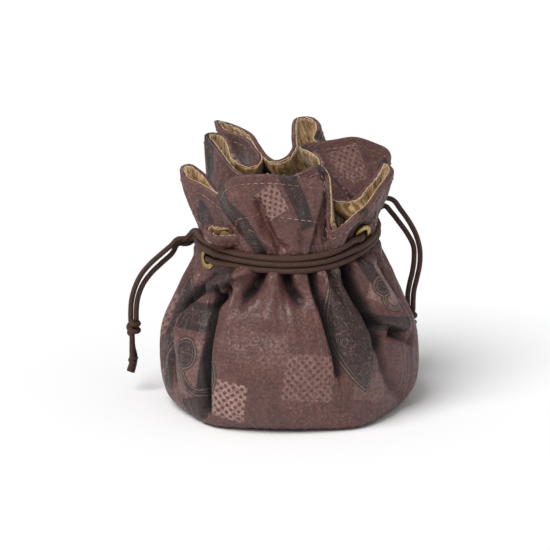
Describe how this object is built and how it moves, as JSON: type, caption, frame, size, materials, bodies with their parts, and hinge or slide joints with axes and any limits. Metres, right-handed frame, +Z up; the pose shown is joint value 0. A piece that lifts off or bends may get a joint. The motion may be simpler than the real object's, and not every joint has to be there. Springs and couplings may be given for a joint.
{
  "type": "drawstring dice bag",
  "caption": "Soft round-bottomed leather-look pouch, gathered at the neck by waxed drawcords through brass eyelets, with a satin-lined ruffled mouth and knotted cord ends.",
  "frame": {"origin": "centre of the base's underside, on the surface that the bag stands on", "axes": "+Z up through the middle of the mouth, the front faces -Y, +X to the right seen from the front"},
  "size_m": [0.1289, 0.111, 0.1154],
  "materials": {
    "leather": "semi-matte grained leather with a tonal print",
    "satin": "soft sheen satin",
    "thread": "matte thread",
    "brass": "satin antique brass",
    "cord": "waxed braid, low sheen"
  },
  "bodies": {
    "root": {"leather_body": "leather", "leather_base": "leather", "lining_body": "satin", "lining_base": "satin", "hem_thread": "thread", "facing_thread": "thread", "back_seam_thread": "thread", "base_seam_thread": "thread", "eyelet_front_left": "brass", "eyelet_front_right": "brass", "eyelet_back_right": "brass", "eyelet_back_left": "brass", "washer_front_left": "brass", "washer_front_right": "brass", "washer_back_right": "brass", "washer_back_left": "brass", "left_cord_neck": "cord", "right_cord_neck": "cord"},
    "left_tail": {"left_tail_front": "cord", "left_tail_back": "cord"},
    "left_ends": {"left_knot": "cord", "left_cord_ends": "cord"},
    "right_tail": {"right_tail_front": "cord", "right_tail_back": "cord"},
    "right_ends": {"right_knot": "cord", "right_cord_ends": "cord"}
  },
  "joints": [
    {"name": "left_tail_swing", "type": "hinge", "parent": "root", "child": "left_tail", "pos_m": [-0.0455, 0.007, 0.0678], "axis": [1, 0, 0], "range_deg": [-60, 60]},
    {"name": "left_knot_swing", "type": "hinge", "parent": "left_tail", "child": "left_ends", "pos_m": [-0.0669, 0.007, 0.0289], "axis": [1, 0, 0], "range_deg": [-30, 30]},
    {"name": "right_tail_swing", "type": "hinge", "parent": "root", "child": "right_tail", "pos_m": [0.0384, 0.026, 0.079], "axis": [1, 0, 0], "range_deg": [0, 60]},
    {"name": "right_knot_swing", "type": "hinge", "parent": "right_tail", "child": "right_ends", "pos_m": [0.0537, 0.026, 0.0285], "axis": [1, 0, 0], "range_deg": [0, 40]}
  ]
}
